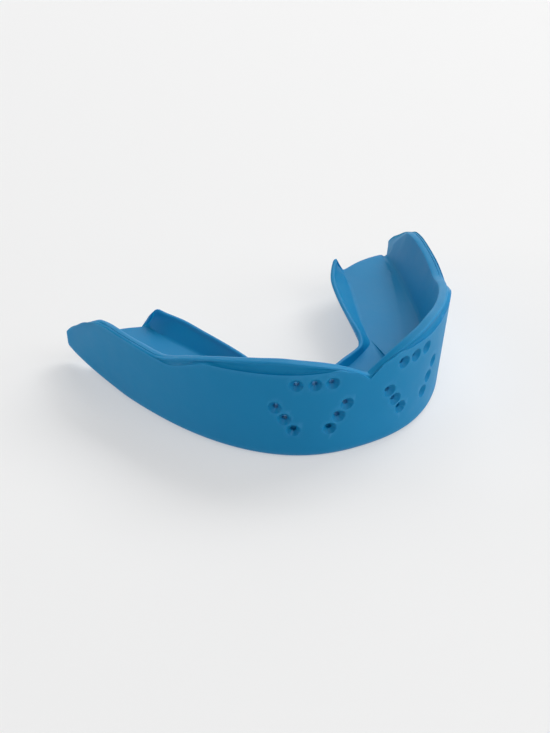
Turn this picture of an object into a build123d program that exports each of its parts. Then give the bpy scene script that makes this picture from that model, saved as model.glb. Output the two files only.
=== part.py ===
"""Adult mouthguard: a U-shaped tray for the upper teeth, with a perforated front wall.

The real object is one moulding. It is divided here into its working regions, which meet face to
face: the outer wall in three lengths, the bite floor in three and the palatal (inner) wall in three.
Millimetres, +Z up, the front faces -Y, and +X is the wearer's left. The origin is on the base plane,
in the middle of the width and of the depth.
"""
from build123d import *
from math import cos, hypot, pi, radians, sin
import os

# ---- driving dimensions -------------------------------------------------------------------------
# The outer edge of the base in plan is a superellipse, with its depth counted back from the front.
ARCH_HALF_WIDTH = 31.17
ARCH_DEPTH = 79.29
ARCH_DEPTH_POWER = 2.871
ARCH_WIDTH_POWER = 2.343
MID_DEPTH = 22.4          # depth of the origin

EDGE_RADIUS = 1.6         # rounding of the lower outer edge
RIM_THICKNESS = 1.35      # outer wall at its rim
RIM_ROUNDING = 0.35
COVE_HEIGHT = 6.3         # foot of the outer wall's inner face
PAD_HEIGHT = 6.0          # top of the molar pads
TROUGH_EDGE_HEIGHT = 5.8  # front trough at the outer wall
TROUGH_HEIGHT = 5.0       # bottom of the front trough
PALATAL_THICKNESS = 1.2   # palatal wall at its crest
CREST_ROUNDING = 0.3
TONGUE_EDGE = 0.95        # bevel under the palatal wall
FLOOR_OVERLAP = 0.6       # how far the front floor runs into the walls before it is cut back
SEAM = 0.04               # clearance between a molar pad and the walls beside it
SCOOP_LIP = 0.1           # narrow flat at the foot of the front scoop
SCOOP_RISE = 0.3          # the scoop's floor rises by this share of its depth
SCOOP_UNDERCUT = 0.7      # and its upper half runs in under the rim by this share
TROUGH_PLACE = 0.45       # the lowest line of the trough, as a share of its width
LEAST_TOP = 0.05          # least run of the palatal wall's slope in plan
DRILL_OVERSHOOT = 0.4     # how far the cutters start outside the wall
NORMAL_STEP = 0.02        # half the angle between the points that give the wall's direction

HOLE_DIAMETER = 1.4
COUNTERSINK_DIAMETER = 2.6
COUNTERSINK_DEPTH = 0.8
DRILL_LENGTH = 9.0
# The holes of one side: distance from the midline and height.
TOP_ROW = [(11.9 - 2.7 * i, 14.8) for i in range(3)]
OUTER_ROW = [(14.4 - 1.3 * i, 10.4 - 2.2 * i) for i in range(3)]
INNER_ROW = [(3.9 + 1.3 * i, 10.4 - 2.2 * i) for i in range(3)]

# Sweep angles of the sections, in degrees from the midline. The outer wall is divided at the angle
# where its rim stops falling, and the floor where the front trough steps up to the molar pads.
WALL_DIVISION = 48.6
FLOOR_DIVISION = 24.5
BACK_END = 73.5
WALL_FRONT_ANGLES = (0, 2.2, 4.9, 8, 12, 17, 22, 27.5, 33, 38.4, 43.5, WALL_DIVISION)
WALL_BACK_ANGLES = (WALL_DIVISION, 51, 54, 57, 60, 63, 66, 69, 71.5, BACK_END)
FLOOR_FRONT_ANGLES = (0, 6, 12, 17, 21, FLOOR_DIVISION)
FLOOR_BACK_ANGLES = (FLOOR_DIVISION, 30, 36, 42, *WALL_BACK_ANGLES)
PALATAL_DIVISION = 0.405
PALATAL_FRONT_STEPS = 9
PALATAL_BACK_STEPS = 14

# Back end in plan, from the tongue side to the outside: distance from the midline and depth.
BACK_OUTLINE = ((14.0, 38.6), (16.7, 40.4), (19.3, 41.8), (24.0, 42.7), (28.0, 42.2), (29.7, 45.6),
                (31.3, 46.4), (33.0, 49.0))
# Upper edge of the cheek wall's sloping end, seen from the side: depth and height.
END_SLOPE = ((33.0, 14.2), (36.4, 13.1), (40.0, 10.9), (45.0, 6.8), (46.4, 4.9), (46.8, 2.0))
CHEEK_INNER_LIMIT = 22.0  # the cheek walls lie outside this distance from the midline
TRIM_SIZE = 40.0


class Profile:
    """A smooth curve through a few knots (x, y) that doesn't overshoot them."""

    def __init__(self, *knots):
        self.xs = [x for x, _ in knots]
        self.ys = [y for _, y in knots]
        widths = [b - a for a, b in zip(self.xs, self.xs[1:])]
        rises = [b - a for a, b in zip(self.ys, self.ys[1:])]
        steps = [rise / width for rise, width in zip(rises, widths)]
        inner = [0 if a * b <= 0 else 2 * a * b / (a + b) for a, b in zip(steps, steps[1:])]
        self.slopes = [steps[0]] + inner + [steps[-1]]

    def __call__(self, x):
        x = min(max(x, self.xs[0]), self.xs[-1])
        i = sum(1 for knot in self.xs[1:-1] if x > knot)
        width = self.xs[i + 1] - self.xs[i]
        t = (x - self.xs[i]) / width
        start = (1 + 2 * t) * (1 - t) ** 2 * self.ys[i] + t * (1 - t) ** 2 * width * self.slopes[i]
        end = t * t * (3 - 2 * t) * self.ys[i + 1] + t * t * (t - 1) * width * self.slopes[i + 1]
        return start + end


# Along the outer wall, by sweep angle.
wall_lean = Profile((0, 0.092), (25, 0.095), (50, 0.14), (64, 0.14), (73.5, 0.05))
end_flare = Profile((0, 0), (62, 0), (73.5, 0.85))
base_lift = Profile((0, 0), (60, 0), (66, 0.6), (73.5, 2.0))
ledge_height = Profile((0, 14.05), (2.2, 15.85), (4.9, 16.6), (7.5, 17.15), (17, 17.0), (30, 16.7),
                       (38.4, 16.4), (44, 14.6), (48.6, 13.3), (56, 13.6), (73.5, 13.2))
rim_height = Profile((0, 14.7), (3, 16.1), (7.1, 17.45), (11.4, 18.3), (16, 18.8), (21.5, 19.1),
                     (28.2, 18.65), (36.2, 17.5), (44.4, 15.5), (51.5, 13.5), (62, 13.6), (73.5, 13.4))
rim_inset = Profile((0, 0.25), (14, 0.2), (40, 0.1), (52, 0.0), (60, -0.2), (66, -0.2), (73.5, 0.4))
scoop_depth = Profile((0, 0.0), (5, 0.05), (14, 0.5), (30, 0.5), (38.4, 0.05), (48.6, 0.0))
cove_inset = Profile((0, 1.6), (20, 1.9), (48, 2.3), (56, 2.5), (63, 2.2), (73.5, 1.2))
pad_inset = Profile((0, 3.2), (30, 5.2), (43, 5.8), (53, 5.2), (62, 3.7), (69, 1.9), (73.5, 1.6))

# Along the palatal side, by station: 0 at the midline, 1 at the back end.
palatal_station = Profile((0, 0), (24.5, 0.405), (35, 0.45), (45, 0.52), (52, 0.6), (60, 0.75),
                          (66, 0.86), (73.5, 1.0))
crest_x = Profile((0, 0), (0.11, 4.3), (0.22, 8.35), (0.33, 9.4), (0.44, 9.95), (0.56, 11.0),
                  (0.67, 12.3), (0.78, 13.8), (0.89, 15.7), (1, 16.7))
crest_depth = Profile((0, 13.8), (0.03, 13.85), (0.11, 15.1), (0.22, 17.1), (0.33, 19.3),
                      (0.44, 22.3), (0.56, 26.9), (0.67, 31.6), (0.78, 36.05), (0.89, 39.2), (1, 40.4))
crest_height = Profile((0, 7.4), (0.22, 7.5), (0.44, 8.3), (0.67, 8.2), (0.78, 8.4), (1, 9.2))
foot_x = Profile((0, 0), (0.11, 4.2), (0.22, 8.4), (0.33, 11.4), (0.44, 12.4), (0.56, 13.7),
                 (0.67, 15.4), (0.78, 16.9), (0.89, 18.3), (1, 19.1))
foot_depth = Profile((0, 12.6), (0.03, 12.65), (0.11, 13.85), (0.22, 16.2), (0.33, 18.5),
                     (0.44, 21.6), (0.56, 25.7), (0.67, 30.2), (0.78, 34.3), (0.89, 38.6), (1, 41.5))
tongue_lean = Profile((0, 0.1), (0.22, 0.2), (0.44, 1.2), (0.6, 2.0), (1, 2.0))
palatal_lift = Profile((0, 0), (0.75, 0), (0.86, 0.6), (1, 2.0))


# ---- geometry of the arch -----------------------------------------------------------------------
def arch_point(angle):
    """The base outline at a sweep angle: distance from the midline and Y."""
    sweep = radians(angle)
    across = ARCH_HALF_WIDTH * sin(sweep) ** (2 / ARCH_WIDTH_POWER)
    depth = ARCH_DEPTH * (1 - cos(sweep) ** (2 / ARCH_DEPTH_POWER))
    return across, depth - MID_DEPTH


def arch_normal(angle):
    """Outward direction of the wall in plan."""
    if angle == 0:
        return 0.0, -1.0
    before = arch_point(angle - NORMAL_STEP)
    after = arch_point(angle + NORMAL_STEP)
    along = (after[0] - before[0], after[1] - before[1])
    length = hypot(*along)
    return along[1] / length, -along[0] / length


def wall_point(angle, inset, height):
    """A point this far inside the base outline, square to the wall."""
    x, y = arch_point(angle)
    nx, ny = arch_normal(angle)
    return Vector(x - nx * inset, y - ny * inset, height)


def outer_inset(angle, height):
    """The outer face leans outward as it rises, and flares out at the back end."""
    return -end_flare(angle) - wall_lean(angle) * height


def foot_point(station):
    return Vector(foot_x(station), foot_depth(station) - MID_DEPTH, 0)


def crest_point(station):
    return Vector(crest_x(station), crest_depth(station) - MID_DEPTH, 0)


# ---- sections -----------------------------------------------------------------------------------
def section(origin, direction, flat):
    """A closed outline in the upright plane through origin along direction."""
    points = [origin + direction * u + Vector(0, 0, z) for u, z in flat]
    return Wire.make_polygon(points, close=True)


def wall_section(angle):
    """The outer wall, square to the arch: base, outer face, ledge, scoop, rim and inner face."""
    base = base_lift(angle)
    ledge = ledge_height(angle)
    rim = rim_height(angle)
    inner = rim_inset(angle)
    outer = inner - RIM_THICKNESS
    ledge_inset = outer_inset(angle, ledge)
    edge_top = base + EDGE_RADIUS
    edge_inset = outer_inset(angle, edge_top)
    corner = EDGE_RADIUS * (1 - cos(pi / 4))
    scoop = scoop_depth(angle)
    flat = (
        (cove_inset(angle), base),
        (edge_inset + EDGE_RADIUS, base),
        (edge_inset + corner, base + corner),
        (edge_inset, edge_top),
        (ledge_inset, ledge),
        (ledge_inset + SCOOP_LIP + scoop, ledge + SCOOP_LIP + scoop * SCOOP_RISE),
        (outer + scoop * SCOOP_UNDERCUT, (ledge + rim - RIM_ROUNDING) / 2 + SCOOP_LIP),
        (outer, rim - RIM_ROUNDING),
        (outer + RIM_ROUNDING, rim),
        (inner - RIM_ROUNDING, rim),
        (inner, rim - RIM_ROUNDING),
        (cove_inset(angle), COVE_HEIGHT),
    )
    inward = -Vector(*arch_normal(angle), 0)
    return section(wall_point(angle, 0, 0), inward, flat)


def floor_section(angle):
    """The bite floor of one molar pad, from the outer wall across to the palatal wall."""
    base = base_lift(angle)
    start = wall_point(angle, cove_inset(angle), 0)
    across = foot_point(palatal_station(angle)) - start
    width = across.length
    return section(start, across.normalized(), (
        (SEAM, base),
        (SEAM, COVE_HEIGHT),
        (pad_inset(angle) - cove_inset(angle), PAD_HEIGHT),
        (width - SEAM, PAD_HEIGHT),
        (width - SEAM, base),
    ))


def trough_section(angle):
    """The front floor, hollowed between the outer wall and the palatal lip."""
    start = wall_point(angle, cove_inset(angle), 0)
    across = foot_point(palatal_station(angle)) - start
    width = across.length
    return section(start, across.normalized(), (
        (-FLOOR_OVERLAP, 0),
        (-FLOOR_OVERLAP, TROUGH_EDGE_HEIGHT),
        (0, TROUGH_EDGE_HEIGHT),
        (width * TROUGH_PLACE, TROUGH_HEIGHT),
        (width, PAD_HEIGHT),
        (width + FLOOR_OVERLAP, PAD_HEIGHT),
        (width + FLOOR_OVERLAP, 0),
    ))


def palatal_section(station):
    """The palatal wall, from its foot over the crest and down the tongue side."""
    foot = foot_point(station)
    across = crest_point(station) - foot
    reach = across.length
    top = crest_height(station)
    base = palatal_lift(station)
    tongue_foot = max(reach - tongue_lean(station), PALATAL_THICKNESS)
    crest_inner = max(reach - PALATAL_THICKNESS, LEAST_TOP)
    return section(foot, across.normalized(), (
        (0, base),
        (0, PAD_HEIGHT),
        (crest_inner, top - CREST_ROUNDING),
        (crest_inner + CREST_ROUNDING, top),
        (reach - CREST_ROUNDING, top),
        (reach, top - CREST_ROUNDING),
        (tongue_foot, base + TONGUE_EDGE),
        (tongue_foot - TONGUE_EDGE, base),
    ))


# ---- solids -------------------------------------------------------------------------------------
def lofted(sections):
    return Solid.make_loft(sections, ruled=False)


def mirrored(shape):
    return shape.mirror(Plane.YZ)


def largest(shape):
    """The main solid of a cut, without slivers left inside the neighbours."""
    return max(shape.solids(), key=lambda solid: solid.volume)


def both_sides(half):
    """One solid across the midline from its +X half."""
    return half + mirrored(half)


def back_trim():
    """All that lies behind the back outline, above the sloping end, or under the base plane."""
    outline = [Vector(x, depth - MID_DEPTH, -1) for x, depth in BACK_OUTLINE]
    behind = Polyline(outline[0], (outline[0].X, TRIM_SIZE, -1), (TRIM_SIZE, TRIM_SIZE, -1),
                      (TRIM_SIZE, outline[-1].Y, -1), outline[-1])
    plan = make_face(Polyline(*outline).edges() + behind.edges())
    slope = [Vector(CHEEK_INNER_LIMIT, depth - MID_DEPTH, height) for depth, height in END_SLOPE]
    above = Polyline(slope[0], (slope[0].X, slope[0].Y, TRIM_SIZE), (slope[0].X, TRIM_SIZE, TRIM_SIZE),
                     (slope[0].X, TRIM_SIZE, slope[-1].Z), slope[-1])
    side = make_face(Spline(*slope).edges() + above.edges())
    behind_end = extrude(plan, amount=TRIM_SIZE, dir=(0, 0, 1))
    above_end = extrude(side, amount=TRIM_SIZE, dir=(1, 0, 0))
    below_base = Box(TRIM_SIZE, 2 * TRIM_SIZE, 1, align=(Align.MIN, Align.CENTER, Align.MAX))
    return behind_end + above_end + below_base


def angle_at(across, height):
    """Sweep angle where the outer face stands this far from the midline, by bisection."""
    low, high = 0.1, WALL_DIVISION
    for _ in range(40):
        angle = (low + high) / 2
        if wall_point(angle, outer_inset(angle, height), height).X < across:
            low = angle
        else:
            high = angle
    return angle


def perforation(across, height):
    """Cutter for one countersunk hole, square to the front wall in plan."""
    angle = angle_at(across, height)
    mouth = wall_point(angle, outer_inset(angle, height), height)
    inward = -Vector(*arch_normal(angle), 0)
    slope = (COUNTERSINK_DIAMETER - HOLE_DIAMETER) / 2 / COUNTERSINK_DEPTH
    mouth_radius = COUNTERSINK_DIAMETER / 2 + slope * DRILL_OVERSHOOT
    cone_length = COUNTERSINK_DEPTH + DRILL_OVERSHOOT
    from_base = (Align.CENTER, Align.CENTER, Align.MIN)
    cone = Cone(mouth_radius, HOLE_DIAMETER / 2, cone_length, align=from_base)
    drill = Cylinder(HOLE_DIAMETER / 2, DRILL_LENGTH)
    cutter = drill + cone.moved(Location((0, 0, -DRILL_OVERSHOOT)))
    return cutter.moved(Plane(mouth, z_dir=inward).location)


def outer_walls():
    """The front wall, with its holes, and the left cheek wall."""
    front = lofted([wall_section(angle) for angle in WALL_FRONT_ANGLES])
    back = lofted([wall_section(angle) for angle in WALL_BACK_ANGLES])
    return front, back


def palatal_walls():
    """The left half of the front lip, and the left palatal wall."""
    front_step = PALATAL_DIVISION / PALATAL_FRONT_STEPS
    back_step = (1 - PALATAL_DIVISION) / PALATAL_BACK_STEPS
    front = lofted([palatal_section(i * front_step) for i in range(PALATAL_FRONT_STEPS + 1)])
    back = lofted([palatal_section(PALATAL_DIVISION + i * back_step) for i in range(PALATAL_BACK_STEPS + 1)])
    return front, back


trim = back_trim()
front_wall, cheek_wall = outer_walls()
front_lip, palatal_wall = palatal_walls()

front_floor = lofted([trough_section(angle) for angle in FLOOR_FRONT_ANGLES])
for neighbour in (front_wall, cheek_wall, front_lip, palatal_wall):
    front_floor = front_floor - neighbour
front_floor = largest(front_floor)
molar_pad = lofted([floor_section(angle) for angle in FLOOR_BACK_ANGLES]) - trim
cheek_wall = cheek_wall - trim
palatal_wall = palatal_wall - trim

labial_wall = both_sides(front_wall)
for across, height in TOP_ROW + OUTER_ROW + INNER_ROW:
    cutter = perforation(across, height)
    labial_wall = labial_wall - cutter - mirrored(cutter)

nodes = {
    "labial_wall": labial_wall,
    "cheek_wall_left": cheek_wall,
    "cheek_wall_right": mirrored(cheek_wall),
    "front_bite_floor": both_sides(front_floor),
    "molar_pad_left": molar_pad,
    "molar_pad_right": mirrored(molar_pad),
    "front_palatal_lip": both_sides(front_lip),
    "palatal_wall_left": palatal_wall,
    "palatal_wall_right": mirrored(palatal_wall),
}

os.makedirs("parts", exist_ok=True)
for name, shape in nodes.items():
    export_step(shape, f"parts/{name}.step")
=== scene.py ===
"""The visual of the mouthguard: one seamless satin-blue moulding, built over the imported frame."""

from math import cos, hypot, pi, radians, sin

import bmesh
import bpy
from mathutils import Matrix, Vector


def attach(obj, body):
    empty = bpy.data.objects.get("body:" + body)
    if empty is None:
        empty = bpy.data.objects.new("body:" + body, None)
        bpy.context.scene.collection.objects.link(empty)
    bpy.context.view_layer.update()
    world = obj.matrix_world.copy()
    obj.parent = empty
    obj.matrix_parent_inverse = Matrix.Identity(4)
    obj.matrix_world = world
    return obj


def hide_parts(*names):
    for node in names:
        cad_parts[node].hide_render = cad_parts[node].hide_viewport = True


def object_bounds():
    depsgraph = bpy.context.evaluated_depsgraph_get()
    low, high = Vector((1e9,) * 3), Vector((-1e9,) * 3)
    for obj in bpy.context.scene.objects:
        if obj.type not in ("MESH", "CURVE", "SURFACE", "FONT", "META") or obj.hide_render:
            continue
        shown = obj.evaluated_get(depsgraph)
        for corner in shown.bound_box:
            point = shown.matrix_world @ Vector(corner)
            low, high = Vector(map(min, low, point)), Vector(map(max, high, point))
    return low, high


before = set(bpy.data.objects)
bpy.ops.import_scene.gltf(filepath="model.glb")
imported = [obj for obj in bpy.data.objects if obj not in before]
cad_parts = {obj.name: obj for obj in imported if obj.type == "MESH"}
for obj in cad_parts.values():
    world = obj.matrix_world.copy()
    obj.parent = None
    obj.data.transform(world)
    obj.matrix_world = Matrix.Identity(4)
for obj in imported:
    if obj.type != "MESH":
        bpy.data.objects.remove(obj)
frame_box = [[float(value) for value in corner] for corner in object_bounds()]
(LOW_X, LOW_Y, LOW_Z), (HIGH_X, HIGH_Y, HIGH_Z) = frame_box

# ---- units --------------------------------------------------------------------------------------
# The shape is written in millimetres of a guard OVERALL_WIDTH wide, with depth counted back from
# the front of the base, and is then brought to the frame's own width and place.
OVERALL_WIDTH = 62.38
FRONT_LEAN_REACH = 1.5   # how far the leaning front stands ahead of the front of the base
MM = (HIGH_X - LOW_X) / OVERALL_WIDTH
FRONT_OF_BASE = LOW_Y + FRONT_LEAN_REACH * MM


def placed(point):
    """A model point, in millimetres with Y as depth, in the frame's metres."""
    x, depth, z = point
    return Vector((x * MM, FRONT_OF_BASE + depth * MM, LOW_Z + z * MM))


# ---- camera -------------------------------------------------------------------------------------
# Degrees, metres, and millimetres for the lens and the sensor.
CAMERA_AZIMUTH = -28.34
CAMERA_ELEVATION = 33.31
CAMERA_DISTANCE = 0.48073
CAMERA_TARGET = Vector((0, 0.00815, -0.00196))
CAMERA_LENS = 139.8
SENSOR = 36.0


def toward(azimuth, elevation):
    """Unit vector from the guard to this azimuth, counted from the front, and elevation."""
    return Vector((sin(azimuth) * cos(elevation), -cos(azimuth) * cos(elevation), sin(elevation)))


back = toward(radians(CAMERA_AZIMUTH), radians(CAMERA_ELEVATION))
camera_data = bpy.data.cameras.new("camera")
camera_data.lens = CAMERA_LENS
camera_data.sensor_width = SENSOR
camera = bpy.data.objects.new("camera", camera_data)
camera.location = CAMERA_TARGET + back * CAMERA_DISTANCE
camera.rotation_euler = back.to_track_quat("Z", "Y").to_euler()
bpy.context.collection.objects.link(camera)
bpy.context.scene.camera = camera

# ---- dimensions, in millimetres and degrees -----------------------------------------------------
# The base outline is a superellipse in plan.
ARCH_HALF_WIDTH = 31.17
ARCH_DEPTH = 79.29
ARCH_DEPTH_POWER = 2.871
ARCH_WIDTH_POWER = 2.343
BACK_END = 73.5            # sweep angle of the back end
NORMAL_STEP = 0.02         # half the step, in degrees, that the wall's direction is measured over

EDGE_RADIUS = 1.6          # rounding of the lower outer edge
PAD_HEIGHT = 6.0           # top of the molar pads
TROUGH_EDGE = 5.8          # front floor beside the front wall
TROUGH_PLACE = 0.45        # the lowest line of the trough, as a share of its width
FLOOR_STEP = (23.7, 25.0)  # sweep angles of the slope from the front floor up to a pad
FILLET = 0.45              # rounding at the foot of the outer wall's inner face
LEAST_COVE = 0.4           # least width of floor between that rounding and the pad

RIM_ROUNDING = 0.3
ROUNDING_MIDDLE = 0.3      # share of the rounding by which its middle point is cut back
RIM_CROWN = 0.03           # how far the rim's inner band swells between its edges
LEDGE_WIDTH = 0.1          # flat of the ledge where there is no scoop
LEDGE_LIFT = 0.05          # rise of the ledge over its flat
SCOOP_SET_BACK = 0.4       # how far the scoop's depth widens the ledge, as a share of that depth
SCOOP_LIFT = 0.05          # how far it lifts the ledge's inner edge
SCOOP_HOLLOW = 0.37        # how far it hollows the face between ledge and rim
GROOVE_PLACE = 0.42        # from the rim's outer edge
GROOVE_WIDTH = 0.26
GROOVE_DEPTH = 0.08
GROOVE_SIDE = 0.25         # each sloping side of the groove, as a share of its width

PALATAL_THICKNESS = 0.85   # palatal wall at its crest
LEAST_SLOPE = 0.05         # least width of its slope in plan
CREST_ROUNDING = 0.36
TONGUE_ROUNDING = 0.95     # rounding of the palatal wall's lower edge

# Toward each back end the inner face ends earlier than the outer one, and the end face bulges.
END_SHIFT = 3.15           # by this many degrees
END_SHIFT_START = 55.0
FLOOR_END_BULGE = 0.8
SLOPE_END_BULGE = 0.8
END_SMOOTHING = 6          # passes that round the edges of the back end
END_SMOOTH_FACTOR = 0.5
END_SMOOTH_COLUMNS = 3     # sections at each end that are rounded

# How the mesh is divided. Along one side: (from sweep angle, to sweep angle, steps).
COLUMN_STEPS = ((0, 3, 12), (3, 10, 12), (10, 23.6, 22), (23.6, 25.1, 9), (25.1, 38.4, 18),
                (38.4, 50, 18), (50, 62, 12), (62, 73.5, 24))
# Around a section: steps up the outer side, and as many down the tongue side.
SIDE_ROWS = 32
ARC_ROWS = 7               # of these, in the rounding at the base
# Steps over the top, from the ledge inward.
SCOOP_ROWS = 10
WALL_ROWS = 14
FILLET_ROWS = 4
COVE_ROWS = 6
FLOOR_ROWS = 14
SLOPE_ROWS = 8
CREST_ROWS = 6


class Profile:
    """A smooth curve through a few knots (x, y) that doesn't overshoot them."""

    def __init__(self, *knots):
        self.xs = [x for x, _ in knots]
        self.ys = [y for _, y in knots]
        widths = [b - a for a, b in zip(self.xs, self.xs[1:])]
        rises = [b - a for a, b in zip(self.ys, self.ys[1:])]
        steps = [rise / width for rise, width in zip(rises, widths)]
        inner = [0 if a * b <= 0 else 2 * a * b / (a + b) for a, b in zip(steps, steps[1:])]
        self.slopes = [steps[0]] + inner + [steps[-1]]

    def __call__(self, x):
        x = min(max(x, self.xs[0]), self.xs[-1])
        i = sum(1 for knot in self.xs[1:-1] if x > knot)
        width = self.xs[i + 1] - self.xs[i]
        t = (x - self.xs[i]) / width
        start = (1 + 2 * t) * (1 - t) ** 2 * self.ys[i] + t * (1 - t) ** 2 * width * self.slopes[i]
        end = t * t * (3 - 2 * t) * self.ys[i + 1] + t * t * (t - 1) * width * self.slopes[i + 1]
        return start + end


# Along the outer wall, by sweep angle. Insets are measured inward from the base outline.
wall_lean = Profile((0, 0.092), (25, 0.095), (50, 0.14), (64, 0.14), (73.5, 0.05))
end_flare = Profile((0, 0), (62, 0), (73.5, 0.85))
base_lift = Profile((0, 0), (60, 0), (66, 0.6), (73.5, 2.0))
END_SLOPE = ((65.3, 13.0), (66.9, 12.0), (68.6, 10.9), (70.6, 9.0), (72.7, 6.9), (73.5, 5.7))
ledge_height = Profile((0, 14.05), (1.7, 15.45), (2.05, 15.62), (2.4, 15.95), (4.9, 16.6),
                       (7.5, 17.15), (17, 17.0), (30, 16.7), (38.4, 16.4), (44, 14.6), (48.6, 13.3),
                       (56, 13.55), (62, 13.55), *END_SLOPE)
rim_height = Profile((0, 14.7), (3, 16.1), (7.1, 17.45), (11.4, 18.3), (16, 18.8), (21.5, 19.1),
                     (28.2, 18.65), (36.2, 17.5), (44.4, 15.5), (51.5, 13.5), (56, 13.6), (62, 13.6),
                     *END_SLOPE)
inner_rim_height = Profile((0, 14.7), (3, 16.1), (7.1, 17.45), (11.4, 18.3), (16, 18.8), (21.5, 19.1),
                           (28.2, 18.65), (36.2, 17.5), (44.4, 15.5), (51.5, 13.5), (56, 13.6),
                           (62, 13.6), (65.5, 13.0), (67.3, 11.15), (69.0, 8.6), (69.65, 7.0),
                           (70.35, 6.1))
rim_outer_inset = Profile((0, -1.1), (5, -1.15), (12, -1.4), (38.4, -1.4), (48.6, -1.55), (52, -1.78),
                          (62, -1.85), (66, -1.85), (73.5, -1.05))
rim_inner_inset = Profile((0, 0.25), (14, 0.2), (40, 0.1), (52, 0.0), (60, -0.2), (66, -0.2),
                          (68, 0.2), (69.5, 0.8), (70.35, 1.1))
scoop_depth = Profile((0, 0.0), (5, 0.05), (13, 0.75), (30, 0.75), (38.4, 0.05), (48.6, 0.0))
groove_depth = Profile((0, 0.0), (49, 0.0), (52, 1.0), (64, 1.0), (67, 0.0), (73.5, 0.0))
cove_inset = Profile((0, 1.6), (20, 1.9), (48, 2.3), (56, 2.5), (63, 2.2), (70.35, 1.5))
cove_height = Profile((0, 5.8), (24.5, 6.25), (35, 6.6), (62, 6.6), (70, 6.15), (73.5, 5.55))
trough_height = Profile((0, 5.0), (12, 5.05), (20, 5.4), (23.7, 5.72))
pad_inset = Profile((0, 3.2), (30, 5.2), (43, 5.8), (53, 5.2), (62, 3.7), (69, 1.9), (73.5, 1.8))

# Along the palatal side, by station: 0 at the midline, 1 at the back end.
palatal_station = Profile((0, 0), (24.5, 0.405), (35, 0.45), (45, 0.52), (52, 0.6), (60, 0.75),
                          (66, 0.86), (73.5, 1.0))
crest_x = Profile((0, 0), (0.11, 4.3), (0.22, 8.35), (0.33, 9.4), (0.44, 9.95), (0.56, 11.0),
                  (0.67, 12.3), (0.78, 13.8), (0.89, 15.7), (1, 16.7))
crest_depth = Profile((0, 13.8), (0.03, 13.85), (0.11, 15.1), (0.22, 17.1), (0.33, 19.3),
                      (0.44, 22.3), (0.56, 26.9), (0.67, 31.6), (0.78, 36.05), (0.89, 39.2), (1, 40.4))
crest_height = Profile((0, 7.4), (0.22, 7.5), (0.44, 8.3), (0.67, 8.2), (0.78, 8.4), (1, 9.2))
foot_x = Profile((0, 0), (0.11, 4.2), (0.22, 8.4), (0.33, 11.4), (0.44, 12.4), (0.56, 13.7),
                 (0.67, 15.4), (0.78, 16.9), (0.89, 18.1), (1, 18.7))
foot_depth = Profile((0, 12.6), (0.03, 12.65), (0.11, 13.85), (0.22, 16.2), (0.33, 18.5),
                     (0.44, 21.6), (0.56, 25.7), (0.67, 30.2), (0.78, 34.3), (0.89, 38.3), (1, 40.8))
tongue_lean = Profile((0, 0.1), (0.22, 0.7), (0.33, 2.2), (0.6, 3.6), (0.85, 3.6), (1, 2.6))
palatal_lift = Profile((0, 0), (0.75, 0), (0.86, 0.6), (1, 2.0))


# ---- geometry of the arch -----------------------------------------------------------------------
def arch_point(angle):
    """The base outline at a sweep angle: distance from the midline and depth."""
    sweep = radians(angle)
    across = ARCH_HALF_WIDTH * sin(sweep) ** (2 / ARCH_WIDTH_POWER)
    return across, ARCH_DEPTH * (1 - cos(sweep) ** (2 / ARCH_DEPTH_POWER))


def arch_normal(angle):
    """Outward direction of the wall in plan."""
    if angle == 0:
        return 0.0, -1.0
    half_step = min(NORMAL_STEP, angle / 2)
    before = arch_point(angle - half_step)
    after = arch_point(angle + half_step)
    along = (after[0] - before[0], after[1] - before[1])
    length = hypot(*along)
    return along[1] / length, -along[0] / length


def wall_point(angle, inset, height):
    """A point this far inside the base outline, square to the wall."""
    x, depth = arch_point(angle)
    nx, ny = arch_normal(angle)
    return Vector((x - nx * inset, depth - ny * inset, height))


def outer_inset(angle, height):
    """Where the leaning outer face stands at this height."""
    return -end_flare(angle) - wall_lean(angle) * height


def smooth_step(low, high, x):
    """0 below low, 1 above high, and a smooth rise between."""
    t = min(max((x - low) / (high - low), 0.0), 1.0)
    return t * t * (3 - 2 * t)


def end_share(angle):
    """0 along the arch, growing to 1 at the back end."""
    return max(0.0, (angle - END_SHIFT_START) / (BACK_END - END_SHIFT_START)) ** 2


def hump(share):
    """0 at both ends of a span and 1 in its middle."""
    return 4 * share * (1 - share)


def between(a, b, steps):
    """Evenly spaced points from a to b, without a."""
    return [a.lerp(b, i / steps) for i in range(1, steps + 1)]


def arc(start, corner, end, steps):
    """A rounded corner from start to end, without start."""
    points = []
    for i in range(1, steps + 1):
        turn = pi / 2 * i / steps
        points.append(corner + (start - corner) * (1 - sin(turn)) + (end - corner) * (1 - cos(turn)))
    return points


def curve(knots, steps):
    """A smooth path (Catmull-Rom) through knots, without the first one."""
    spread = [knots[0]] + list(knots) + [knots[-1]]
    spans = len(knots) - 1
    points = []
    for i in range(1, steps + 1):
        place = spans * i / steps
        k = min(int(place), spans - 1)
        t = place - k
        p0, p1, p2, p3 = spread[k:k + 4]
        points.append(0.5 * (2 * p1 + (p2 - p0) * t + (2 * p0 - 5 * p1 + 4 * p2 - p3) * t * t
                             + (3 * p1 - p0 - 3 * p2 + p3) * t ** 3))
    return points


# ---- one section, as four paths that meet at its corners ----------------------------------------
def outer_side(angle):
    """From the base up the outer face to the ledge."""
    base = base_lift(angle)
    ledge = ledge_height(angle)
    radius = min(EDGE_RADIUS, (ledge - base) / 2)
    top = base + radius
    inset = outer_inset(angle, top)
    start = wall_point(angle, inset + radius, base)
    edge = wall_point(angle, inset, top)
    rounded = arc(start, wall_point(angle, inset, base), edge, ARC_ROWS)
    face = between(edge, wall_point(angle, outer_inset(angle, ledge), ledge), SIDE_ROWS - ARC_ROWS)
    return [start] + rounded + face


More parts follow.
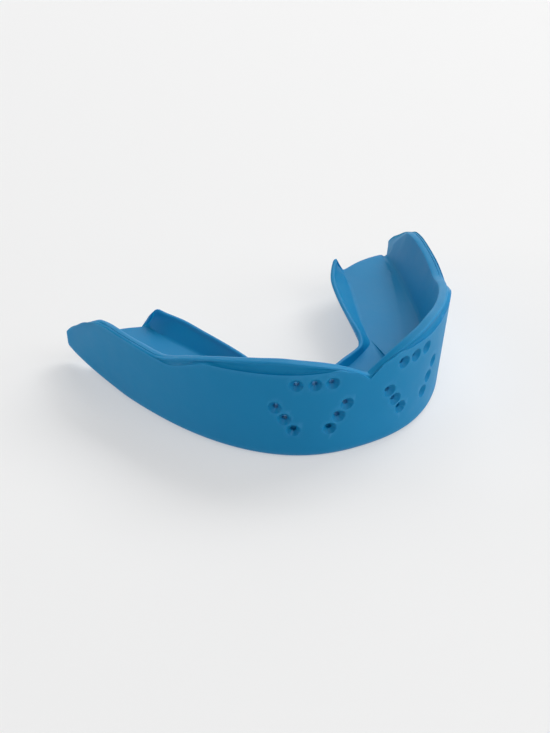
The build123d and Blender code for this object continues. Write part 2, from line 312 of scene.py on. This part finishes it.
def over_rim(angle, inner_angle):
    """From the ledge, through the scoop, over the rim and down its inner edge."""
    ledge = ledge_height(angle)
    rim = rim_height(angle)
    inner_rim = inner_rim_height(inner_angle)
    outer = rim_outer_inset(angle)
    inner = rim_inner_inset(inner_angle)
    scoop = scoop_depth(angle)
    start = outer_inset(angle, ledge)
    middle = (ledge + rim - RIM_ROUNDING) / 2

    def point(share, inset, height):
        return wall_point(angle + (inner_angle - angle) * share, inset, height)

    below = curve([
        point(0, start, ledge),
        point(0, start + LEDGE_WIDTH + SCOOP_SET_BACK * scoop, ledge + LEDGE_LIFT + SCOOP_LIFT * scoop),
        point(0, outer + scoop * SCOOP_HOLLOW, middle),
        point(0, outer, rim - RIM_ROUNDING),
    ], SCOOP_ROWS)
    width = inner - outer
    dip = GROOVE_DEPTH * groove_depth(angle)
    cut_back = RIM_ROUNDING * ROUNDING_MIDDLE
    # Distance from the rim's outer edge, and how far below the rim.
    rim_knots = (
        (cut_back, cut_back),
        (RIM_ROUNDING, 0),
        (GROOVE_PLACE, 0),
        (GROOVE_PLACE + GROOVE_WIDTH * GROOVE_SIDE, dip),
        (GROOVE_PLACE + GROOVE_WIDTH * (1 - GROOVE_SIDE), dip),
        (GROOVE_PLACE + GROOVE_WIDTH, 0),
        ((GROOVE_PLACE + GROOVE_WIDTH + width - RIM_ROUNDING) / 2, -RIM_CROWN),
        (width - RIM_ROUNDING, 0),
        (width - cut_back, cut_back),
        (width, RIM_ROUNDING),
    )
    band = []
    for offset, drop in rim_knots:
        share = offset / width
        band.append(point(share, outer + offset, rim + (inner_rim - rim) * share - drop))
    return below + band


def floor_height(angle, share):
    """Height of the floor, this share of the way from the outer wall to the palatal foot."""
    lowest = trough_height(angle)
    if share < TROUGH_PLACE:
        hollow = TROUGH_EDGE + (lowest - TROUGH_EDGE) * smooth_step(0, TROUGH_PLACE, share)
    else:
        hollow = lowest + (PAD_HEIGHT - lowest) * smooth_step(TROUGH_PLACE, 1, share)
    pad = smooth_step(*FLOOR_STEP, angle)
    return hollow + (PAD_HEIGHT - hollow) * pad


def section(angle):
    """The closed section as its four paths: outer side, top, tongue side and underside."""
    share = end_share(angle)
    inner_angle = angle - END_SHIFT * share
    station = palatal_station(angle)

    side = outer_side(angle)
    rim = over_rim(angle, inner_angle)

    # Down the inner face into the cove.
    inner = cove_inset(inner_angle)
    cove = cove_height(angle)
    wall_top = rim[-1]
    fillet = min(FILLET, (wall_top.z - cove) / 2)
    foot_of_wall = wall_point(inner_angle, inner, cove)
    wall_end = foot_of_wall.lerp(wall_top, fillet / (wall_top.z - cove))
    cove_start = wall_point(inner_angle, inner + fillet, cove)
    wall = between(wall_top, wall_end, WALL_ROWS) + arc(wall_end, foot_of_wall, cove_start, FILLET_ROWS)

    # Over the floor to the palatal foot.
    foot = Vector((foot_x(station), foot_depth(station), PAD_HEIGHT))
    edge_inset = max(pad_inset(inner_angle), inner + fillet + LEAST_COVE)
    pad_edge = wall_point(inner_angle, edge_inset, PAD_HEIGHT)
    plan = between(cove_start, pad_edge, COVE_ROWS) + between(pad_edge, foot, FLOOR_ROWS)
    span = (foot - cove_start).length
    floor = []
    for point in plan:
        across = min((point - cove_start).length / span, 1)
        height = floor_height(angle, across)
        if len(floor) < COVE_ROWS:
            height = cove + (height - cove) * (len(floor) + 1) / COVE_ROWS
        bulge = FLOOR_END_BULGE * share * hump(across)
        floor.append(Vector((point.x, point.y + bulge, height)))

    # Up the slope, over the crest and down the tongue side.
    reach_plan = Vector((crest_x(station), crest_depth(station), PAD_HEIGHT)) - foot
    reach = reach_plan.length
    inward = reach_plan.normalized()
    top = crest_height(station)
    base = palatal_lift(station)
    crest_inner = max(reach - PALATAL_THICKNESS, LEAST_SLOPE)
    tongue_foot = reach - tongue_lean(station)
    ground = Vector((foot.x, foot.y, 0))

    def palatal(offset, height):
        return ground + inward * offset + Vector((0, 0, height))

    slope_end = palatal(crest_inner, top - CREST_ROUNDING)
    slope = between(foot, slope_end, SLOPE_ROWS)
    for i, point in enumerate(slope):
        rise = (i + 1) / SLOPE_ROWS
        point.y += SLOPE_END_BULGE * share * hump(rise)
    outer_top = palatal(crest_inner + CREST_ROUNDING, top)
    inner_top = palatal(reach - CREST_ROUNDING, top)
    half = CREST_ROWS // 2
    crest = arc(slope_end, palatal(crest_inner, top), outer_top, half)
    crest += [inner_top]
    crest += arc(inner_top, palatal(reach, top), palatal(reach, top - CREST_ROUNDING), half)
    tongue_corner = palatal(tongue_foot, base)
    tongue_low = tongue_corner.lerp(palatal(reach, top), TONGUE_ROUNDING / (top - base))
    tongue_base = palatal(tongue_foot - TONGUE_ROUNDING, base)
    tongue = [crest[-1]] + between(crest[-1], tongue_low, SIDE_ROWS - ARC_ROWS)
    tongue += arc(tongue_low, tongue_corner, tongue_base, ARC_ROWS)

    # The underside lies below the top path, row for row.
    over = [side[-1]] + rim + wall + floor + slope + crest
    outer_count = len(rim) + len(wall)
    under = []
    for i, point in enumerate(over):
        if i <= outer_count:
            plan_point = side[0].lerp(cove_start, i / outer_count)
        else:
            inner_share = (i - outer_count) / (len(over) - 1 - outer_count)
            bulge = FLOOR_END_BULGE * share * hump(inner_share)
            plan_point = cove_start.lerp(tongue_base, inner_share) + Vector((0, bulge, 0))
        across = i / (len(over) - 1)
        height = base_lift(angle) + (base - base_lift(angle)) * across
        under.append(Vector((plan_point.x, plan_point.y, height)))
    return side, over, tongue, list(reversed(under))


def ring_of(paths):
    """The four paths as one closed ring, without doubled corners."""
    ring = []
    for path in paths:
        ring += path[:-1]
    return ring


def end_patch(ring, side_steps, top_steps):
    """The inner points of a grid that closes a ring, blended from its four sides (a Coons patch)."""
    outer = [ring[i] for i in range(side_steps + 1)]
    top = [ring[side_steps + i] for i in range(top_steps + 1)]
    tongue = [ring[side_steps + top_steps + side_steps - i] for i in range(side_steps + 1)]
    count = len(ring)
    under = [ring[(count - i) % count] for i in range(top_steps + 1)]
    grid = {}
    for a in range(1, top_steps):
        u = a / top_steps
        for b in range(1, side_steps):
            v = b / side_steps
            edges = outer[b] * (1 - u) + tongue[b] * u + under[a] * (1 - v) + top[a] * v
            low_corners = outer[0] * (1 - u) + tongue[0] * u
            high_corners = outer[-1] * (1 - u) + tongue[-1] * u
            grid[a, b] = edges - (low_corners * (1 - v) + high_corners * v)
    return grid


def signed_volume(bm):
    """In cubic millimetres: negative when the faces look inward."""
    total = 0.0
    for face in bm.faces:
        corners = [vert.co / MM for vert in face.verts]
        for b, c in zip(corners[1:], corners[2:]):
            total += corners[0].dot(b.cross(c)) / 6
    return total


def face_outward(bm):
    """Turn every face of a closed mesh to the outside."""
    bmesh.ops.recalc_face_normals(bm, faces=bm.faces)
    if signed_volume(bm) < 0:
        bmesh.ops.reverse_faces(bm, faces=bm.faces)


def shell_mesh():
    """The whole guard as rings of vertices from one back end to the other, closed at both ends."""
    angles = [0.0]
    for start, end, steps in COLUMN_STEPS:
        angles += [start + (end - start) * (i + 1) / steps for i in range(steps)]
    paths = [section(angle) for angle in angles]
    side_steps = len(paths[0][0]) - 1
    top_steps = len(paths[0][1]) - 1
    rings = [ring_of(path) for path in paths]
    count = len(rings[0])

    half = [[Vector(point) for point in ring] for ring in rings]
    mirror = [[Vector((-point.x, point.y, point.z)) for point in ring] for ring in half]
    full = list(reversed(mirror[1:])) + half

    bm = bmesh.new()
    rows = [[bm.verts.new(placed(point)) for point in ring] for ring in full]
    for a, b in zip(rows, rows[1:]):
        for i in range(count):
            j = (i + 1) % count
            bm.faces.new((a[i], a[j], b[j], b[i]))
    end_rows = rows[:END_SMOOTH_COLUMNS] + rows[-END_SMOOTH_COLUMNS:]
    end_verts = [vert for row in end_rows for vert in row]
    for ring, points in ((rows[0], full[0]), (rows[-1], full[-1])):
        patch = end_patch(points, side_steps, top_steps)
        inner = {key: bm.verts.new(placed(point)) for key, point in patch.items()}
        end_verts += inner.values()

        def vert(a, b):
            """The end face's vertex a steps across and b steps up, on the ring or inside it."""
            if a == 0:
                return ring[b]
            if a == top_steps:
                return ring[2 * side_steps + top_steps - b]
            if b == 0:
                return ring[(count - a) % count]
            if b == side_steps:
                return ring[side_steps + a]
            return inner[a, b]

        for a in range(top_steps):
            for b in range(side_steps):
                bm.faces.new((vert(a, b), vert(a + 1, b), vert(a + 1, b + 1), vert(a, b + 1)))
    for _ in range(END_SMOOTHING):
        bmesh.ops.smooth_vert(bm, verts=end_verts, factor=END_SMOOTH_FACTOR,
                              use_axis_x=True, use_axis_y=True, use_axis_z=True)
    face_outward(bm)
    return bm


# ---- perforations -------------------------------------------------------------------------------
# Each row's three places: distance from the midline and height, in millimetres.
TOP_ROW = [(11.9 - 2.7 * i, 14.8) for i in range(3)]
OUTER_ROW = [(14.5 - 1.3 * i, 10.2 - 2.2 * i) for i in range(3)]
INNER_ROW = [(3.9 + 1.3 * i, 10.2 - 2.2 * i) for i in range(3)]
HOLE_RADIUS = 0.45
# The countersink with its rounded lip: depth and radius.
COUNTERSINK = ((-0.8, 1.25), (0.0, 1.25), (0.02, 1.19), (0.06, 1.13), (0.13, 1.07), (0.22, 1.0),
               (0.75, HOLE_RADIUS))
THROUGH = 3.4              # length of the cutters that pass through the wall
BLIND = 1.3                # and of those that would meet the bite floor behind it
BLIND_BELOW = 7.0
HOLE_SEGMENTS = 40
HOLE_TURN = 0.37           # keeps the cutters' corners off the wall's own rows
ROW_ANGLES = (0.1, 48.6)   # the sweep angles that all perforations lie between
HALVINGS = 40
WELD_DISTANCE = 1e-7       # metres


def angle_at(across, height):
    """Sweep angle where the outer face stands this far from the midline, by bisection."""
    low, high = ROW_ANGLES
    for _ in range(HALVINGS):
        angle = (low + high) / 2
        if wall_point(angle, outer_inset(angle, height), height).x < across:
            low = angle
        else:
            high = angle
    return angle


def add_cutter(bm, across, height, side):
    """One countersunk cutter, square to the front wall in plan."""
    angle = angle_at(across, height)
    mouth = wall_point(angle, outer_inset(angle, height), height)
    nx, ny = arch_normal(angle)
    inward = Vector((-nx, -ny, 0))
    level = Vector((ny, -nx, 0))
    up = Vector((0, 0, 1))
    length = BLIND if height < BLIND_BELOW else THROUGH
    profile = COUNTERSINK + ((length, HOLE_RADIUS),)
    rings = []
    for depth, radius in profile:
        ring = []
        for i in range(HOLE_SEGMENTS):
            turn = 2 * pi * (i + HOLE_TURN) / HOLE_SEGMENTS
            point = mouth + inward * depth + (level * cos(turn) + up * sin(turn)) * radius
            ring.append(bm.verts.new(placed((point.x * side, point.y, point.z))))
        rings.append(ring)
    for a, b in zip(rings, rings[1:]):
        for i in range(HOLE_SEGMENTS):
            j = (i + 1) % HOLE_SEGMENTS
            bm.faces.new((a[i], a[j], b[j], b[i]))
    bm.faces.new(rings[0])
    bm.faces.new(list(reversed(rings[-1])))


def mesh_object(name, bm):
    """A scene object from a finished mesh, which is used up."""
    mesh = bpy.data.meshes.new(name)
    bm.to_mesh(mesh)
    bm.free()
    obj = bpy.data.objects.new(name, mesh)
    bpy.context.collection.objects.link(obj)
    return obj


guard = mesh_object("mouthguard", shell_mesh())
cutters = bmesh.new()
for across, height in TOP_ROW + OUTER_ROW + INNER_ROW:
    for side in (-1, 1):
        add_cutter(cutters, across, height, side)
face_outward(cutters)
cutter = mesh_object("cutters", cutters)

cut = guard.modifiers.new("perforations", "BOOLEAN")
cut.operation = "DIFFERENCE"
cut.solver = "EXACT"
cut.object = cutter
depsgraph = bpy.context.evaluated_depsgraph_get()
pierced = bpy.data.meshes.new_from_object(guard.evaluated_get(depsgraph))
guard.modifiers.clear()
guard.data = pierced
bpy.data.objects.remove(cutter)

# Smooth shading, except over the perforations' lips and other edges sharper than this.
SHARP_ANGLE = radians(42)
bm = bmesh.new()
bm.from_mesh(guard.data)
bmesh.ops.remove_doubles(bm, verts=bm.verts, dist=WELD_DISTANCE)
bmesh.ops.triangulate(bm, faces=[face for face in bm.faces if len(face.verts) > 4])
for face in bm.faces:
    face.smooth = True
for edge in bm.edges:
    if len(edge.link_faces) == 2 and edge.calc_face_angle(0) > SHARP_ANGLE:
        edge.smooth = False
bm.to_mesh(guard.data)
bm.free()


# ---- material -----------------------------------------------------------------------------------
BLUE = (0.001, 0.218, 0.455, 1)
BLUE_LOW = (0.0, 0.203, 0.43, 1)
TINT_SCALE = 140           # noise scales are per metre
TINT_DETAIL = 3
# Painted edge highlight: a paler blue laid on convex edges, found by their pointiness.
EDGE_HIGHLIGHT_BLUE = (0.04, 0.28, 0.55, 1)
EDGE_STARTS = 0.505        # pointiness where edges begin to look paler
EDGE_FULL = 0.6
EDGE_MOST = 0.5            # most that the pale colour takes over
GRAIN_SCALE = 5200
GRAIN_DETAIL = 2
GRAIN_STRENGTH = 0.25
GRAIN_HEIGHT = 0.00001
WAVE_SCALE = 420
WAVE_DETAIL = 1
WAVE_STRENGTH = 0.3
WAVE_HEIGHT = 0.00006
ROUGH_LEAST = 0.46
ROUGH_MOST = 0.58
SPECULAR = 0.2
SUBSURFACE = 0.12
SUBSURFACE_RADIUS = (0.2, 0.6, 1.0)
SUBSURFACE_SCALE = 0.0012


def principled(name):
    """A new material, with its node tree and its shader."""
    material = bpy.data.materials.new(name)
    material.use_nodes = True
    return material, material.node_tree, material.node_tree.nodes["Principled BSDF"]


material, tree, shader = principled("shell")
nodes, links = tree.nodes, tree.links
coords = nodes.new("ShaderNodeTexCoord")


def noise(scale, detail):
    """Procedural noise over the guard's own coordinates."""
    node = nodes.new("ShaderNodeTexNoise")
    node.inputs["Scale"].default_value = scale
    node.inputs["Detail"].default_value = detail
    links.new(coords.outputs["Object"], node.inputs["Vector"])
    return node


def bump(texture, strength, height):
    """A relief of this height from a noise texture."""
    node = nodes.new("ShaderNodeBump")
    node.inputs["Strength"].default_value = strength
    node.inputs["Distance"].default_value = height
    links.new(texture.outputs["Fac"], node.inputs["Height"])
    return node


# Two close blues in soft clouds.
tint = noise(TINT_SCALE, TINT_DETAIL)
clouds = nodes.new("ShaderNodeMix")
clouds.data_type = "RGBA"
clouds.inputs["A"].default_value = BLUE_LOW
clouds.inputs["B"].default_value = BLUE
links.new(tint.outputs["Fac"], clouds.inputs["Factor"])

# A painted highlight: a paler blue along the convex edges, standing in for light catching them.
geometry = nodes.new("ShaderNodeNewGeometry")
edge_highlight_ramp = nodes.new("ShaderNodeMapRange")
edge_highlight_ramp.inputs["From Min"].default_value = EDGE_STARTS
edge_highlight_ramp.inputs["From Max"].default_value = EDGE_FULL
edge_highlight_ramp.inputs["To Max"].default_value = EDGE_MOST
links.new(geometry.outputs["Pointiness"], edge_highlight_ramp.inputs["Value"])
edge_highlight_tint = nodes.new("ShaderNodeMix")
edge_highlight_tint.data_type = "RGBA"
edge_highlight_tint.inputs["B"].default_value = EDGE_HIGHLIGHT_BLUE
links.new(edge_highlight_ramp.outputs["Result"], edge_highlight_tint.inputs["Factor"])
links.new(clouds.outputs["Result"], edge_highlight_tint.inputs["A"])
links.new(edge_highlight_tint.outputs["Result"], shader.inputs["Base Color"])

# A fine grain on faint waves, which also vary the gloss.
grain = noise(GRAIN_SCALE, GRAIN_DETAIL)
waves = noise(WAVE_SCALE, WAVE_DETAIL)
grain_bump = bump(grain, GRAIN_STRENGTH, GRAIN_HEIGHT)
wave_bump = bump(waves, WAVE_STRENGTH, WAVE_HEIGHT)
links.new(grain_bump.outputs["Normal"], wave_bump.inputs["Normal"])
links.new(wave_bump.outputs["Normal"], shader.inputs["Normal"])
gloss = nodes.new("ShaderNodeMapRange")
gloss.inputs["To Min"].default_value = ROUGH_LEAST
gloss.inputs["To Max"].default_value = ROUGH_MOST
links.new(waves.outputs["Fac"], gloss.inputs["Value"])
links.new(gloss.outputs["Result"], shader.inputs["Roughness"])

shader.inputs["Specular IOR Level"].default_value = SPECULAR
shader.inputs["Subsurface Weight"].default_value = SUBSURFACE
shader.inputs["Subsurface Radius"].default_value = SUBSURFACE_RADIUS
shader.inputs["Subsurface Scale"].default_value = SUBSURFACE_SCALE
guard.data.materials.clear()
guard.data.materials.append(material)

# ---- floor and light ----------------------------------------------------------------------------
PAPER = (0.46, 0.46, 0.46, 1)
PAPER_GLOW = 0.42          # a little light of its own, which keeps the paper even
WHITE = (1, 1, 1, 1)
FLOOR_HALF_SIZE = 2.0
FLOOR_DROP = 0.00002       # keeps the paper clear of the guard's underside

floor_bm = bmesh.new()
bmesh.ops.create_grid(floor_bm, x_segments=1, y_segments=1, size=FLOOR_HALF_SIZE)
floor = mesh_object("floor", floor_bm)
floor.location = (0, 0, LOW_Z - FLOOR_DROP)
paper, _, paper_shader = principled("paper")
paper_shader.inputs["Base Color"].default_value = PAPER
paper_shader.inputs["Roughness"].default_value = 1
paper_shader.inputs["Specular IOR Level"].default_value = 0
paper_shader.inputs["Emission Color"].default_value = WHITE
paper_shader.inputs["Emission Strength"].default_value = PAPER_GLOW
floor.data.materials.append(paper)

# The studio is dark: all other light comes from the softboxes.
world = bpy.data.worlds.new("studio")
world.use_nodes = True
world.node_tree.nodes["Background"].inputs["Color"].default_value = WHITE
world.node_tree.nodes["Background"].inputs["Strength"].default_value = 0
bpy.context.scene.world = world

LIGHT_LEVEL = 0.975
SOFTBOX_DISTANCE = 0.9
SOFTBOX_SIZE = 0.5
LOW_LIGHT = 12             # elevations
HIGH_LIGHT = 45
# Name, azimuth, elevation and watts.
SOFTBOXES = (
    ("right_high", 105, HIGH_LIGHT, 4.5),
    ("right_low", 60, LOW_LIGHT, 3.0),
    ("front_high", 15, HIGH_LIGHT, 2.4),
    ("front_left_high", -30, HIGH_LIGHT, 1.3),
    ("back_high", 150, HIGH_LIGHT, 2.0),
    ("back_low", 150, LOW_LIGHT, 1.5),
    ("left_low", -105, LOW_LIGHT, 2.2),
    ("back_left_low", -150, LOW_LIGHT, 1.8),
)


def softbox(name, azimuth_deg, elevation_deg, watts):
    """A square soft light aimed at the guard."""
    light = bpy.data.lights.new(name, "AREA")
    light.shape = "SQUARE"
    light.size = SOFTBOX_SIZE
    light.energy = watts * LIGHT_LEVEL
    obj = bpy.data.objects.new(name, light)
    direction = toward(radians(azimuth_deg), radians(elevation_deg))
    obj.location = direction * SOFTBOX_DISTANCE
    obj.rotation_euler = direction.to_track_quat("Z", "Y").to_euler()
    bpy.context.collection.objects.link(obj)


for softbox_facts in SOFTBOXES:
    softbox(*softbox_facts)

bpy.context.scene.view_settings.view_transform = "Standard"
bpy.context.scene.view_settings.look = "None"

# ---- what this piece stands for -----------------------------------------------------------------
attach(guard, "root")
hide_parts("labial_wall", "cheek_wall_left", "cheek_wall_right", "front_bite_floor",
            "molar_pad_left", "molar_pad_right", "front_palatal_lip", "palatal_wall_left",
            "palatal_wall_right")
